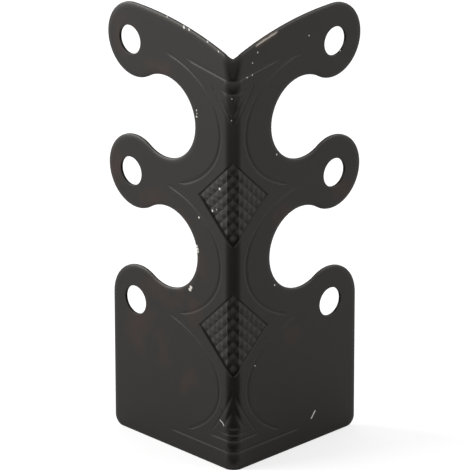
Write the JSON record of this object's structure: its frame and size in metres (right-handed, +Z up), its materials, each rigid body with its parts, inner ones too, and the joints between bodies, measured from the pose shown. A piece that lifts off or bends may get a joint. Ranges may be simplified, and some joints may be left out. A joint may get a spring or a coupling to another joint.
{
  "type": "corner protector",
  "caption": "Black stamped steel corner protector for a box or chest, folded square, with round screw ears and a tooled pattern.",
  "frame": {"origin": "where the two inner faces would meet, at the bottom edge", "axes": "+Z up along the fold; +X along the right wing and +Y along the left wing, as seen from outside the corner"},
  "size_m": [0.0293, 0.0293, 0.076],
  "materials": {
    "black_steel": "satin black paint on thin sheet steel, with small chips at the edges"
  },
  "bodies": {
    "root": {"corner_protector": "black_steel"}
  },
  "joints": []
}
